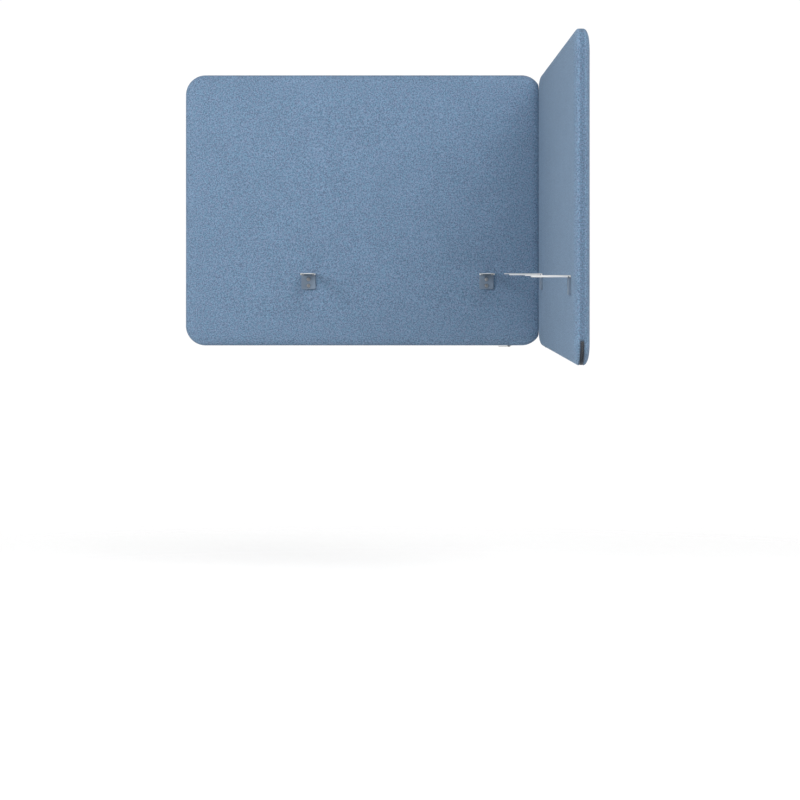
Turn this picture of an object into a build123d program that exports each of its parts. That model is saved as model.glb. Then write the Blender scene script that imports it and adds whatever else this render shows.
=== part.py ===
from build123d import *
from dataclasses import dataclass
import os

# Desk privacy panel set: a rear screen along the desk's rear edge and a side
# screen across one end, standing in an L. Both are upholstered boards that hang
# below the desktop and rise above it, held by brackets under the desktop.
#
# Frame, millimetres: +X towards the rear screen, +Y along the desk away from its
# open end, +Z up. The origin is under the middle of the set's plan box, at the
# height of the screens' bottom edges. Corner where the two screens meet: +X, +Y.

# ---------------------------------------------------------------- main sizes
REAR_L = 1600.0  # rear screen, along Y
SIDE_L = 1000.0  # side screen, along X
HEIGHT = 760.0  # both screens
THICK = 37.0  # both screens, over the felt
HALF = THICK / 2
CORNER_R = 55.5  # corners of the outline
RIM_HALF = 5.5  # half width of the flat rim round the edge
SOFT_IN = 33.0  # the faces curve down to the rim over this distance
REAR_MID_X = 495.0  # middle plane of the rear screen
CORNER_GAP = 0.5  # side screen's end to the rear screen's inner face
SIDE_TRIM = 8.5  # flattening of the side screen's end against the rear screen

INNER_X = REAR_MID_X - HALF  # rear screen's inner face
SIDE_END_X = INNER_X - CORNER_GAP
SIDE_MID_X = SIDE_END_X + SIDE_TRIM - SIDE_L / 2
SIDE_MID_Y = REAR_L / 2 - HALF
INNER_Y = SIDE_MID_Y - HALF  # side screen's inner face

DESK_UNDERSIDE_Z = 203.0

CUT = 1.0  # cutters run past the material by this much
OVERLAP = 0.2  # bodies that fuse run into each other by this much

# ---------------------------------------------------------------- build-up of one screen
FELT = 1.5  # cover
PAD_T = 11.9  # foam pad on each face
BOARD_T = 9.9  # board in the middle
PAD_INSET = 2.6  # foam pads inside the outline
BOARD_INSET = 5.2  # board inside the outline; leaves the channel for the zip slider
PAD_LOW = BOARD_T / 2 + 0.05  # pad's flat face, from the middle plane
PAD_TOP = PAD_LOW + PAD_T
EDGE_GAP = 0.1  # edge foam to felt and to board
EDGE_FOAM_LOW = 66.0  # height where the edge foam starts, above the zip
RAIL = 50.0  # width of the board frame's outer rails
BRACKET_RAIL = (140.0, 212.0)  # height span of the rail the brackets bolt to
MULLION = 60.0  # width of the middle upright
INFILL_GAP = 0.3

# ---------------------------------------------------------------- zip
# Depths are measured inwards from the felt's outline.
SLIT_W = 9.0  # opening in the felt for the zip
ZIP_TOP = 55.0  # the slit runs from this height on one end, round the bottom, to the other
TAPE_IN, TAPE_OUT = 0.8, 6.4  # each tape, from the middle plane
TAPE_TOP = 62.0
TAPE_DEPTH = (1.7, 2.3)
COIL_IN, COIL_OUT = 0.8, 2.6  # each row of coil, from the middle plane
COIL_DEPTH = (0.35, 1.6)
COIL_TOP = 50.8
STOP_V = (51.2, 54.6)
STOP_DEPTH = (0.2, 1.62)
STOP_W = 6.4
SIDE_ZIP_FROM = -425.0  # the side screen's zip starts on its bottom edge, short of the corner
# The side zip's parts near that start, relative to it:
TAPE_SHIFT = -7.0
COIL_SHIFT = 4.7
STOP_SHIFT = 2.4  # middle of the stop

# Slider: u runs along the screen, v up, w across its thickness
REAR_SLIDER_U = 722.0  # rest places along each screen
SIDE_SLIDER_U = -410.0
SLIDER_L = 11.0
SLIDER_W = 8.4
SLIDER_PLATE = 1.1
PLATE_Z = 0.15  # outer plate stands this far below the screen's bottom edge
PLATE_FACE_V = -PLATE_Z - SLIDER_PLATE  # outer plate's underside
INNER_PLATE_L = SLIDER_L - 1
INNER_PLATE_W = SLIDER_W - 0.4
INNER_PLATE_T = 1.0
INNER_PLATE_V = 2.45  # its lower face
TAIL_CUT_W = 3.2
TAIL_CUT_OUT = 0.9  # middle of each tail cut, beyond the slider's side
TAIL_ANGLE = 12
TAIL_CUT_V, TAIL_CUT_H = 6, 10  # start height and depth of the tail cuts
PILLAR_L, PILLAR_H, PILLAR_W = 2.6, 3.2, 1.1
PILLAR_BACK, PILLAR_V = 3.0, 1.3  # middle, from the slider's middle towards its nose
FLANGE_L, FLANGE_H, FLANGE_T = 5.6, 1.5, 0.8
FLANGE_OUT = 3.75  # outer face, from the middle plane
FLANGE_BACK, FLANGE_V = 1.6, 0.5
ARCH_W, ARCH_L, ARCH_H = 1.6, 6.0, 3.2
ARCH_R = 1.2
ARCH_WALL = 0.9
ARCH_EYE_H, ARCH_EYE_R = 1.9, 0.7
EYE_V = PLATE_FACE_V - 1.25  # middle of the arch's eye and of the pull

# Pull tab
PULL_L, PULL_W, PULL_T = 29.0, 7.0, 1.3
PULL_R = 2.2
PULL_FROM = 1.5  # near end, from the bar
PULL_EYE_L, PULL_EYE_W, PULL_EYE_MID = 5.2, 3.0, 2.3
GRIP_L, GRIP_W, GRIP_MID = 14, 2.6, 20.0
PULL_BAR_R, PULL_BAR_L = 0.6, 5.2
EAR_L, EAR_T, EAR_OUT, EAR_MID = 3.2, 1.3, 2.9, 0.9

# ---------------------------------------------------------------- brackets
# Places across (a) are measured out from the felt, heights from the desktop's underside.
REAR_BRACKETS = {"rear_near": -673.0, "rear_far": 570.0}  # Y of each
SIDE_BRACKETS = {"side_back": 330.0, "side_front": -170.0}  # X of each
STAND_OFF = 0.3  # shoe to felt
SHOE_T = 6.0
SHOE_W = 40.0
SHOE_H = 40.0  # leg below the arm
SHOE_R = 5
SHOE_EDGE_R = 1.2
BOLT_Z = (-17.0, -35.0)
BOLT_R = 2.95
BOLT_HOLE_R = 3.3
BOLT_RECESS_R, BOLT_RECESS_H = 5.6, 3.3
BOLT_HEAD_R, BOLT_HEAD_H, BOLT_HEAD_ROUND = 5.2, 3.1, 1.6
BOLT_HEAD_W = -HALF - STAND_OFF - SHOE_T + 0.15  # head's face, from the middle plane
BOLT_SHANK_W = -HALF - STAND_OFF - SHOE_T + 3.2  # start of the shank
BOLT_SHANK_L = HALF + 1.5
BOLT_HEX_R = 2.3
HEX_DEPTH = 1.9  # sockets of bolts and set screws
ARM_W = 40.0
ARM_H = 4.7
ARM_TOP = 1.4
ARM_WALL = 1.8
ARM_LIP = 1.0
ARM_LIP_IN = 12.0  # lips reach in to this far from the arm's middle
ARM_A = (0.8, 90.0)  # span of the channel
ARM_NOTCH = (4.6, 7.0)
NOTCH_LEFT = 0.8  # wall left above the notch
ARM_TAB_END = 104.0
ARM_TAB_R = 6
DESK_HOLES_A = (70.0, 98.0)
DESK_HOLE_R = 2.5
LEG_TOP = -ARM_H - 0.3
LEG_LAP = 3  # neck runs this far down the leg
NECK_T = SHOE_T - 0.2
TONGUE_W = 34.6
TONGUE_R = 2.5
TONGUE_Z = (-3.6, -1.5)
TONGUE_A = (STAND_OFF + 3, 50.0)
SET_SCREW_A = 38.0
SET_SCREW_R = 2.95
SET_SCREW_HOLE_R = 3.0
SET_SCREW_BOSS_R = 6
SET_SCREW_GAP = 0.1  # inside the arm's height at each end
SET_SCREW_HEX_R = 1.75
INSERT_R = 5.0
INSERT_BORE_R = 3.0
INSERT_START = 0.05  # below the board's face
INSERT_L = BOARD_T - 1.2
INSERT_SEAT = BOARD_T - 0.9
SPACER_R = 7.0
SPACER_HOLE_R = SPACER_R + 0.2
SPACER_GAP = 0.05  # at each end

# ---------------------------------------------------------------- corner links
LINK_Z = (130.0, 380.0, 630.0)
LINK_U = REAR_L / 2 - HALF  # along the rear screen
BOARD_FACE_X = REAR_MID_X - BOARD_T / 2  # inner face of the rear screen's board
STUD_R = 2.95
STUD_CLEAR_R = STUD_R + 0.4
STUD_FROM_X = SIDE_END_X - 29.5
STUD_BORE = 30  # depth in the side screen's board
STUD_HEAD_R, STUD_HEAD_T = 6.0, 2.4
STUD_HEAD_X = BOARD_FACE_X + 2.3
STUD_CHAMFER = 0.6
KEY_DROP = 14.0  # entry hole above the stud's seat
KEY_SLOT_W = 6.6
KEY_ENTRY_R = STUD_HEAD_R + 0.5
KEY_ROOM_W = 14  # opening through the layers for the stud head
KEY_ROOM_DEPTH = 5.4  # into the board
PLATE_W, PLATE_H, PLATE_T, PLATE_R = 22, 50, 2.0, 2
PLATE_MID = (-3.5, 3)  # keyhole plate's middle from the stud's seat
PLATE_SMALL_HOLES = ((-10, -15), (-10, 21))  # from the stud's seat
PLATE_SMALL_HOLE_R = 1.8
POCKET_EXTRA = 0.2  # pocket wider and taller than the plate
POCKET_DEPTH = 2.15

# Section across the corner: x along Y, y up, z towards +X
END = Plane(origin=(0, SIDE_MID_Y, 0), x_dir=(0, 1, 0), z_dir=(1, 0, 0))


@dataclass
class Screen:
    """One screen. Its plane has x along the screen, y up and z away from the desk."""

    name: str
    plane: Plane
    length: float
    across: Axis  # thickness axis
    slider_u: float
    pull_dir: int  # direction of the zip's pull along the screen
    brackets: list  # places along the screen
    trim: float = 0.0  # flattening of its end
    zip_from: float | None = None  # start of its zip, or None to run up both ends

    @property
    def bolt_points(self):
        return [(u, DESK_UNDERSIDE_Z + z) for u in self.brackets for z in BOLT_Z]

    def zip_start(self, shift):
        return None if self.zip_from is None else self.zip_from + shift

    def facing_down(self, height):
        """Plane at the slider, x along the screen, z down."""
        origin = self.plane.from_local_coords((self.slider_u, height, 0))
        return Plane(origin=origin, x_dir=self.plane.x_dir, z_dir=(0, 0, -1))


SCREENS = (
    Screen(
        name="rear",
        plane=Plane(origin=(REAR_MID_X, 0, 0), x_dir=(0, 1, 0), z_dir=(1, 0, 0)),
        length=REAR_L,
        across=Axis.X,
        slider_u=REAR_SLIDER_U,
        pull_dir=-1,
        brackets=list(REAR_BRACKETS.values()),
    ),
    Screen(
        name="side",
        plane=Plane(origin=(SIDE_MID_X, SIDE_MID_Y, 0), x_dir=(-1, 0, 0), z_dir=(0, 1, 0)),
        length=SIDE_L,
        across=Axis.Y,
        slider_u=SIDE_SLIDER_U,
        pull_dir=1,
        brackets=[SIDE_MID_X - x for x in SIDE_BRACKETS.values()],
        trim=SIDE_TRIM,
        zip_from=SIDE_ZIP_FROM,
    ),
)


def save(part, label):
    part.label = label
    export_step(part, f"parts/{label}.step")


# ---------------------------------------------------------------- shapes for the sketch in hand
def rounded(length, inset, mode=Mode.ADD):
    """A screen's rounded outline, moved in by inset."""
    with Locations((0, HEIGHT / 2)):
        RectangleRounded(length - 2 * inset, HEIGHT - 2 * inset, CORNER_R - inset, mode=mode)


def trim_end(length, trim, inset):
    """Cuts the sketch flat at the end that is pressed against the other screen."""
    cutter = 100
    if trim:
        with Locations((-length / 2 + trim + inset - cutter / 2, HEIGHT / 2)):
            Rectangle(cutter, HEIGHT + 2 * CUT, mode=Mode.SUBTRACT)


def perimeter_band(length, depth, low, high, trim=0.0, start=None):
    """The ring between two insets of the outline, kept between two heights. With a start it
    keeps only what lies beyond that place along the screen."""
    rounded(length, depth[0])
    rounded(length, depth[1], Mode.SUBTRACT)
    if trim:
        with Locations((-length / 2 + trim + (depth[0] + depth[1]) / 2, HEIGHT / 2)):
            Rectangle(depth[1] - depth[0], HEIGHT)
        rounded(length, depth[0], Mode.INTERSECT)
        trim_end(length, trim, depth[0])
    right = length / 2 + CUT
    left = -right if start is None else start
    with Locations(((left + right) / 2, (low + high) / 2)):
        Rectangle(right - left, high - low, mode=Mode.INTERSECT)


def circles(points, radius, mode=Mode.ADD):
    with Locations(*points):
        Circle(radius, mode=mode)


def link_circles(radius, rise=0.0, mode=Mode.ADD):
    """A circle at each corner link, for a sketch on the END plane."""
    circles([(0, z + rise) for z in LINK_Z], radius, mode)


def key_slots(place, width, mode=Mode.ADD):
    """An upright slot at each corner link, from the stud's seat to the entry hole."""
    with Locations(*[(place, z + KEY_DROP / 2) for z in LINK_Z]):
        SlotOverall(KEY_DROP + width, width, rotation=90, mode=mode)


def inner_openings(screen):
    """Openings through felt and foam on the desk side."""
    circles(screen.bolt_points, SPACER_HOLE_R)
    if screen.name == "rear":
        key_slots(LINK_U, KEY_ROOM_W)


# ---------------------------------------------------------------- soft bodies
def soft_slab(plane, length, inset, low, top):
    """One half of a screen's body from low up to top, measured from the middle plane. A quarter
    ellipse joins its upright rim to the flat face, along the straights and round the corners."""
    along, up, out = plane.x_dir, plane.y_dir, plane.z_dir
    mid_u, mid_v = length / 2 - CORNER_R, HEIGHT - CORNER_R
    reach, rise = SOFT_IN - inset, top - RIM_HALF

    def section(start, end):
        """Cross-section between two ends."""
        left, right = (start + SOFT_IN, RIM_HALF), (end - SOFT_IN, RIM_HALF)
        Polyline((left[0], top), (right[0], top))
        EllipticalCenterArc(right, reach, rise, start_angle=0, arc_size=90)
        Polyline(
            (end - inset, RIM_HALF),
            (end - inset, low),
            (start + inset, low),
            (start + inset, RIM_HALF),
        )
        EllipticalCenterArc(left, reach, rise, start_angle=90, arc_size=90)

    with BuildPart() as slab:
        origin = plane.from_local_coords((-mid_u, 0, 0))
        with BuildSketch(Plane(origin=origin, x_dir=up, z_dir=along)):
            with BuildLine():
                section(0, HEIGHT)
            make_face()
        extrude(amount=2 * mid_u)
        origin = plane.from_local_coords((0, CORNER_R, 0))
        with BuildSketch(Plane(origin=origin, x_dir=-along, z_dir=up)):
            with BuildLine():
                section(-length / 2, length / 2)
            make_face()
        extrude(amount=HEIGHT - 2 * CORNER_R)
        for side, level in ((1, 1), (-1, 1), (-1, -1), (1, -1)):
            centre_v = mid_v if level > 0 else CORNER_R
            centre = plane.from_local_coords((side * mid_u, centre_v, 0))
            with BuildSketch(Plane(origin=centre, x_dir=up * level, z_dir=along * level)):
                with BuildLine():
                    Polyline(
                        (CORNER_R - SOFT_IN, top),
                        (0, top),
                        (0, low),
                        (CORNER_R - inset, low),
                        (CORNER_R - inset, RIM_HALF),
                    )
                    arc_centre = (CORNER_R - SOFT_IN, RIM_HALF)
                    EllipticalCenterArc(arc_centre, reach, rise, start_angle=0, arc_size=90)
                make_face()
            revolve(axis=Axis(centre, out * (-side * level)), revolution_arc=90)
    return slab.part


def soft_body(screen, inset, low, top, both_halves):
    """A soft slab, or two mirrored ones, with the pressed end cut flat."""
    cutter = 40
    with BuildPart() as body:
        add(soft_slab(screen.plane, screen.length, inset, low, top))
        if both_halves:
            mirror(about=screen.plane)
        if screen.trim:
            end_u = -screen.length / 2 + screen.trim + inset
            with BuildSketch(screen.plane.offset(-HALF - CUT)):
                with Locations((end_u - cutter / 2, HEIGHT / 2)):
                    Rectangle(cutter, HEIGHT + 2 * CUT)
            extrude(amount=THICK + 2 * CUT, mode=Mode.SUBTRACT)
    return body.part


def felt_cover(screen):
    """A closed bag, open at the zip's slit and at the fixings."""
    opening_depth = 8
    slit_below = 2
    hollow = soft_body(screen, FELT, 0, HALF - FELT, both_halves=True)
    body = soft_body(screen, 0, 0, HALF, both_halves=True)
    right = screen.length / 2 + CUT
    left = -right if screen.zip_from is None else screen.zip_from
    with BuildPart() as cover:
        add(body)
        add(hollow, mode=Mode.SUBTRACT)
        with BuildSketch(screen.plane.offset(-SLIT_W / 2)):
            with Locations(((left + right) / 2, (ZIP_TOP - slit_below) / 2)):
                Rectangle(right - left, ZIP_TOP + slit_below)
        extrude(amount=SLIT_W, mode=Mode.SUBTRACT)
        with BuildSketch(screen.plane.offset(-HALF - CUT)):
            inner_openings(screen)
        extrude(amount=opening_depth, mode=Mode.SUBTRACT)
        if screen.name == "side":
            with BuildSketch(END.offset(SIDE_END_X - 4)):
                link_circles(STUD_CLEAR_R)
            extrude(amount=6, mode=Mode.SUBTRACT)
    return cover.part


def outer_foam(screen):
    return soft_body(screen, PAD_INSET, PAD_LOW, PAD_TOP, both_halves=False)


def inner_foam(screen):
    """The outer pad mirrored to the desk side, with openings for the fixings."""
    outer = outer_foam(screen)
    with BuildPart() as pad:
        mirror(outer, about=screen.plane)
        with BuildSketch(screen.plane.offset(-PAD_TOP - CUT)):
            inner_openings(screen)
        extrude(amount=PAD_T + 2 * CUT, mode=Mode.SUBTRACT)
    return pad.part


def edge_foam(screen):
    """Foam lipping round the board's top and ends, above the zip."""
    depth = (FELT + EDGE_GAP, BOARD_INSET - EDGE_GAP)
    with BuildPart() as lipping:
        with BuildSketch(screen.plane.offset(-BOARD_T / 2)):
            perimeter_band(screen.length, depth, EDGE_FOAM_LOW, HEIGHT + CUT, screen.trim)
        extrude(amount=BOARD_T)
        if screen.name == "side":
            with BuildSketch(END.offset(SIDE_END_X - 8)):
                link_circles(STUD_CLEAR_R)
            extrude(amount=9, mode=Mode.SUBTRACT)
    return lipping.part


# ---------------------------------------------------------------- board
def add_bays(screen, gap=0.0, mode=Mode.ADD):
    """The frame's four bays, each drawn in by gap, for the sketch in hand."""
    edge = BOARD_INSET + RAIL
    bay_w = (screen.length - 2 * edge - MULLION) / 2
    bay_u = (bay_w + MULLION) / 2
    for u in (-bay_u, bay_u):
        for low, high in ((edge, BRACKET_RAIL[0]), (BRACKET_RAIL[1], HEIGHT - edge)):
            with Locations((u, (low + high) / 2)):
                Rectangle(bay_w - 2 * gap, high - low - 2 * gap, mode=mode)


def board_frame(screen):
    """Outer rails, a bracket rail and a middle upright."""
    inner_face = screen.plane.offset(-BOARD_T / 2)
    with BuildPart() as frame:
        with BuildSketch(inner_face):
            rounded(screen.length, BOARD_INSET)
            trim_end(screen.length, screen.trim, BOARD_INSET)
            add_bays(screen, mode=Mode.SUBTRACT)
        extrude(amount=BOARD_T)
        # seats of the threaded inserts, from the desk side
        with BuildSketch(inner_face):
            circles(screen.bolt_points, INSERT_R)
        extrude(amount=INSERT_SEAT, mode=Mode.SUBTRACT)
        if screen.name == "rear":
            # pockets of the link plates and the room behind them for the stud heads
            with BuildSketch(inner_face):
                with Locations(*[(LINK_U + PLATE_MID[0], z + PLATE_MID[1]) for z in LINK_Z]):
                    Rectangle(PLATE_W + POCKET_EXTRA, PLATE_H + POCKET_EXTRA)
            extrude(amount=POCKET_DEPTH, mode=Mode.SUBTRACT)
            with BuildSketch(inner_face):
                key_slots(LINK_U, KEY_ROOM_W)
            extrude(amount=KEY_ROOM_DEPTH, mode=Mode.SUBTRACT)
        else:
            with BuildSketch(END.offset(SIDE_END_X - STUD_BORE)):
                link_circles(STUD_R)
            extrude(amount=STUD_BORE + CUT, mode=Mode.SUBTRACT)
    return frame.part


def acoustic_infill(screen):
    """Acoustic fibre boards in the frame's four bays."""
    with BuildPart() as infill:
        with BuildSketch(screen.plane.offset(-BOARD_T / 2)):
            add_bays(screen, INFILL_GAP)
        extrude(amount=BOARD_T)
    return infill.part


def threaded_inserts(screen):
    """Inserts in the bracket rail."""
    with BuildPart() as inserts:
        with BuildSketch(screen.plane.offset(-BOARD_T / 2 + INSERT_START)):
            circles(screen.bolt_points, INSERT_R)
        extrude(amount=INSERT_L)
        with BuildSketch(screen.plane.offset(-BOARD_T / 2)):
            circles(screen.bolt_points, INSERT_BORE_R)
        extrude(amount=BOARD_T, mode=Mode.SUBTRACT)
    return inserts.part


def spacer_sleeves(screen):
    """Sleeves through felt and foam, so the shoe doesn't crush them."""
    with BuildPart() as spacers:
        with BuildSketch(screen.plane.offset(-HALF - STAND_OFF + SPACER_GAP)):
            circles(screen.bolt_points, SPACER_R)
            circles(screen.bolt_points, BOLT_HOLE_R, Mode.SUBTRACT)
        extrude(amount=HALF + STAND_OFF - BOARD_T / 2 - 2 * SPACER_GAP)
    return spacers.part


def bracket_bolts(screen):
    """Button heads in the shoes' recesses, shanks in the inserts."""
    with BuildPart() as bolts:
        with BuildSketch(screen.plane.offset(BOLT_HEAD_W)):
            circles(screen.bolt_points, BOLT_HEAD_R)
        extrude(amount=BOLT_HEAD_H)
        head_faces = bolts.faces().filter_by(screen.across).sort_by(screen.across)[0:4]
        fillet(head_faces.edges(), BOLT_HEAD_ROUND)
        with BuildSketch(screen.plane.offset(BOLT_HEAD_W)):
            with Locations(*screen.bolt_points):
                RegularPolygon(BOLT_HEX_R, 6)
        extrude(amount=HEX_DEPTH, mode=Mode.SUBTRACT)
        with BuildSketch(screen.plane.offset(BOLT_SHANK_W)):
            circles(screen.bolt_points, BOLT_R)
        extrude(amount=BOLT_SHANK_L)
    return bolts.part


# ---------------------------------------------------------------- zip pieces
def zip_tape(screen, low_w):
    """One tape, from low_w outwards across the thickness."""
    start = screen.zip_start(TAPE_SHIFT)
    with BuildPart() as tape:
        with BuildSketch(screen.plane.offset(low_w)):
            perimeter_band(screen.length, TAPE_DEPTH, -CUT, TAPE_TOP, start=start)
        extrude(amount=TAPE_OUT - TAPE_IN)
    return tape.part


def zip_coil(screen):
    """Two rows of coil, as plain strips."""
    start = screen.zip_start(COIL_SHIFT)
    with BuildPart() as coil:
        for low_w in (-COIL_OUT, COIL_IN):
            with BuildSketch(screen.plane.offset(low_w)):
                perimeter_band(screen.length, COIL_DEPTH, -CUT, COIL_TOP, start=start)
            extrude(amount=COIL_OUT - COIL_IN)
    return coil.part


def zip_stops(screen):
    """Stops at the zip's two ends."""
    with BuildPart() as stops:
        with BuildSketch(screen.plane.offset(-STOP_W / 2)):
            perimeter_band(screen.length, STOP_DEPTH, *STOP_V, start=screen.zip_from)
            if screen.zip_from is not None:
                with Locations((screen.zip_start(STOP_SHIFT), sum(STOP_DEPTH) / 2)):
                    Rectangle(STOP_V[1] - STOP_V[0], STOP_DEPTH[1] - STOP_DEPTH[0])
        extrude(amount=STOP_W)
    return stops.part


def zip_slider(screen):
    """Two plates joined by a pillar, with flanges and an arch."""
    plane, mid, pull_dir = screen.plane, screen.slider_u, screen.pull_dir
    with BuildPart() as slider:
        # outer plate
        with BuildSketch(plane.offset(-SLIDER_W / 2)):
            with Locations((mid, -PLATE_Z - SLIDER_PLATE / 2)):
                Rectangle(SLIDER_L, SLIDER_PLATE)
        extrude(amount=SLIDER_W)
        # inner plate, inside the channel
        with BuildSketch(plane.offset(-INNER_PLATE_W / 2)):
            with Locations((mid, INNER_PLATE_V + INNER_PLATE_T / 2)):
                Rectangle(INNER_PLATE_L, INNER_PLATE_T)
        extrude(amount=INNER_PLATE_W)
        # narrow the tail of both plates
        with BuildSketch(screen.facing_down(TAIL_CUT_V)):
            for side in (-1, 1):
                with Locations((pull_dir * SLIDER_L / 2, side * (SLIDER_W / 2 + TAIL_CUT_OUT))):
                    Rectangle(SLIDER_L, TAIL_CUT_W, rotation=-side * pull_dir * TAIL_ANGLE)
        extrude(amount=TAIL_CUT_H, mode=Mode.SUBTRACT)
        # pillar between the plates, at the nose
        with BuildSketch(plane.offset(-PILLAR_W / 2)):
            with Locations((mid - pull_dir * PILLAR_BACK, PILLAR_V)):
                Rectangle(PILLAR_L, PILLAR_H)
        extrude(amount=PILLAR_W)
        # side flanges beside the coil
        for low_w in (-FLANGE_OUT, FLANGE_OUT - FLANGE_T):
            with BuildSketch(plane.offset(low_w)):
                with Locations((mid - pull_dir * FLANGE_BACK, FLANGE_V)):
                    Rectangle(FLANGE_L, FLANGE_H)
            extrude(amount=FLANGE_T)
        # arch that carries the pull
        with BuildSketch(plane.offset(-ARCH_W / 2)):
            with Locations((mid, PLATE_FACE_V - (ARCH_H - OVERLAP) / 2)):
                RectangleRounded(ARCH_L, ARCH_H + OVERLAP, ARCH_R)
            with Locations((mid, EYE_V)):
                RectangleRounded(
                    ARCH_L - 2 * ARCH_WALL, ARCH_EYE_H, ARCH_EYE_R, mode=Mode.SUBTRACT
                )
        extrude(amount=ARCH_W)
    return slider.part


def zip_pull(screen):
    """Tab with an eye, a bar inside the slider's arch, and a grip opening."""
    plane, mid, pull_dir = screen.plane, screen.slider_u, screen.pull_dir
    with BuildPart() as pull:
        with BuildSketch(screen.facing_down(EYE_V + PULL_T / 2)):
            with Locations((pull_dir * (PULL_FROM + PULL_L / 2), 0)):
                RectangleRounded(PULL_L, PULL_W, PULL_R)
            with Locations((pull_dir * PULL_EYE_MID, 0)):
                Rectangle(PULL_EYE_L, PULL_EYE_W, mode=Mode.SUBTRACT)
            with Locations((pull_dir * GRIP_MID, 0)):
                SlotOverall(GRIP_L, GRIP_W, mode=Mode.SUBTRACT)
        extrude(amount=PULL_T)
        # bar through the arch, and the ears that carry it
        with BuildSketch(plane.offset(-PULL_BAR_L / 2)):
            with Locations((mid, EYE_V)):
                Circle(PULL_BAR_R)
        extrude(amount=PULL_BAR_L)
        for low_w in (-EAR_OUT, EAR_OUT - EAR_T):
            with BuildSketch(plane.offset(low_w)):
                with Locations((mid + pull_dir * EAR_MID, EYE_V)):
                    Rectangle(EAR_L, PULL_T)
            extrude(amount=EAR_T)
    return pull.part


# ---------------------------------------------------------------- bracket pieces
def bracket_planes(x, y, away, along):
    """The flat plane at the desktop's underside (x away from the screen, z up) and the upright
    plane against the felt (x along the screen, y up, z away from the screen)."""
    origin = (x, y, DESK_UNDERSIDE_Z)
    flat = Plane(origin=origin, x_dir=away, z_dir=(0, 0, 1))
    upright = Plane(origin=origin, x_dir=along, z_dir=away)
    return flat, upright


def bracket_shoe(flat, upright, out):
    """Leg bolted to the screen, neck, and the tongue the arm runs on."""
    neck_low, neck_high = LEG_TOP - LEG_LAP, TONGUE_Z[1]
    with BuildPart() as shoe:
        with BuildSketch(upright.offset(STAND_OFF)):
            with Locations((0, LEG_TOP - SHOE_H / 2)):
                RectangleRounded(SHOE_W, SHOE_H, SHOE_R)
        extrude(amount=SHOE_T)
        fillet(shoe.faces().filter_by(out).sort_by(out)[0].edges(), SHOE_EDGE_R)
        with BuildSketch(upright.offset(STAND_OFF)):
            with Locations((0, (neck_low + neck_high) / 2)):
                Rectangle(TONGUE_W, neck_high - neck_low)
        extrude(amount=NECK_T)
        with BuildSketch(flat.offset(TONGUE_Z[0])):
            with Locations((sum(TONGUE_A) / 2, 0)):
                RectangleRounded(TONGUE_A[1] - TONGUE_A[0], TONGUE_W, TONGUE_R)
        extrude(amount=TONGUE_Z[1] - TONGUE_Z[0])
        # boss round the set screw's thread
        with BuildSketch(flat.offset(-ARM_H)):
            circles([(SET_SCREW_A, 0)], SET_SCREW_BOSS_R)
        extrude(amount=ARM_H + TONGUE_Z[0] + OVERLAP)
        with BuildSketch(flat.offset(-ARM_H - CUT)):
            circles([(SET_SCREW_A, 0)], SET_SCREW_HOLE_R)
        extrude(amount=ARM_H + CUT, mode=Mode.SUBTRACT)
        # bolt holes with recesses for the heads
        with Locations(upright.offset(STAND_OFF + SHOE_T)):
            with Locations(*[(0, z, 0) for z in BOLT_Z]):
                CounterBoreHole(BOLT_HOLE_R, BOLT_RECESS_R, BOLT_RECESS_H, depth=SHOE_T + CUT)
    return shoe.part


def bracket_arm(flat, out):
    """A lipped channel screwed under the desktop, sliding on the tongue."""
    hole_cut = 0.5
    with BuildPart() as arm:
        with BuildSketch(flat.offset(-ARM_TOP)):
            with Locations(((ARM_A[0] + ARM_TAB_END) / 2, 0)):
                Rectangle(ARM_TAB_END - ARM_A[0], ARM_W)
        extrude(amount=ARM_TOP)
        for side in (-1, 1):
            # side wall
            with BuildSketch(flat.offset(-ARM_H)):
                with Locations((sum(ARM_A) / 2, side * (ARM_W - ARM_WALL) / 2)):
                    Rectangle(ARM_A[1] - ARM_A[0], ARM_WALL)
            extrude(amount=ARM_H - ARM_TOP + OVERLAP)
            # lip
            lip_mid = ((ARM_NOTCH[1] + ARM_A[1]) / 2, side * (ARM_W / 2 + ARM_LIP_IN) / 2)
            with BuildSketch(flat.offset(-ARM_H)):
                with Locations(lip_mid):
                    Rectangle(ARM_A[1] - ARM_NOTCH[1], ARM_W / 2 - ARM_LIP_IN)
            extrude(amount=ARM_LIP)
        # relief between the end lug and the channel
        with BuildSketch(flat.offset(-ARM_H - CUT)):
            with Locations((sum(ARM_NOTCH) / 2, 0)):
                Rectangle(ARM_NOTCH[1] - ARM_NOTCH[0], ARM_W + 2 * CUT)
        extrude(amount=ARM_H - ARM_TOP + CUT - NOTCH_LEFT, mode=Mode.SUBTRACT)
        # round the corners of the tab, at the end away from the screen
        fillet(arm.edges().filter_by(Axis.Z).group_by(out)[0], ARM_TAB_R)
        # holes for the screws into the desktop
        with BuildSketch(flat.offset(-ARM_TOP - hole_cut)):
            circles([(a, 0) for a in DESK_HOLES_A], DESK_HOLE_R)
        extrude(amount=ARM_TOP + 2 * hole_cut, mode=Mode.SUBTRACT)
    return arm.part


def lock_screws(flats):
    """Set screws that lock the arms, one per flat plane."""
    with BuildPart() as screws:
        for flat in flats:
            with BuildSketch(flat.offset(-ARM_H + SET_SCREW_GAP)):
                circles([(SET_SCREW_A, 0)], SET_SCREW_R)
            extrude(amount=ARM_H - ARM_TOP - 2 * SET_SCREW_GAP)
            with BuildSketch(flat.offset(-ARM_H)):
                with Locations((SET_SCREW_A, 0)):
                    RegularPolygon(SET_SCREW_HEX_R, 6)
            extrude(amount=HEX_DEPTH, mode=Mode.SUBTRACT)
    return screws.part


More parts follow.
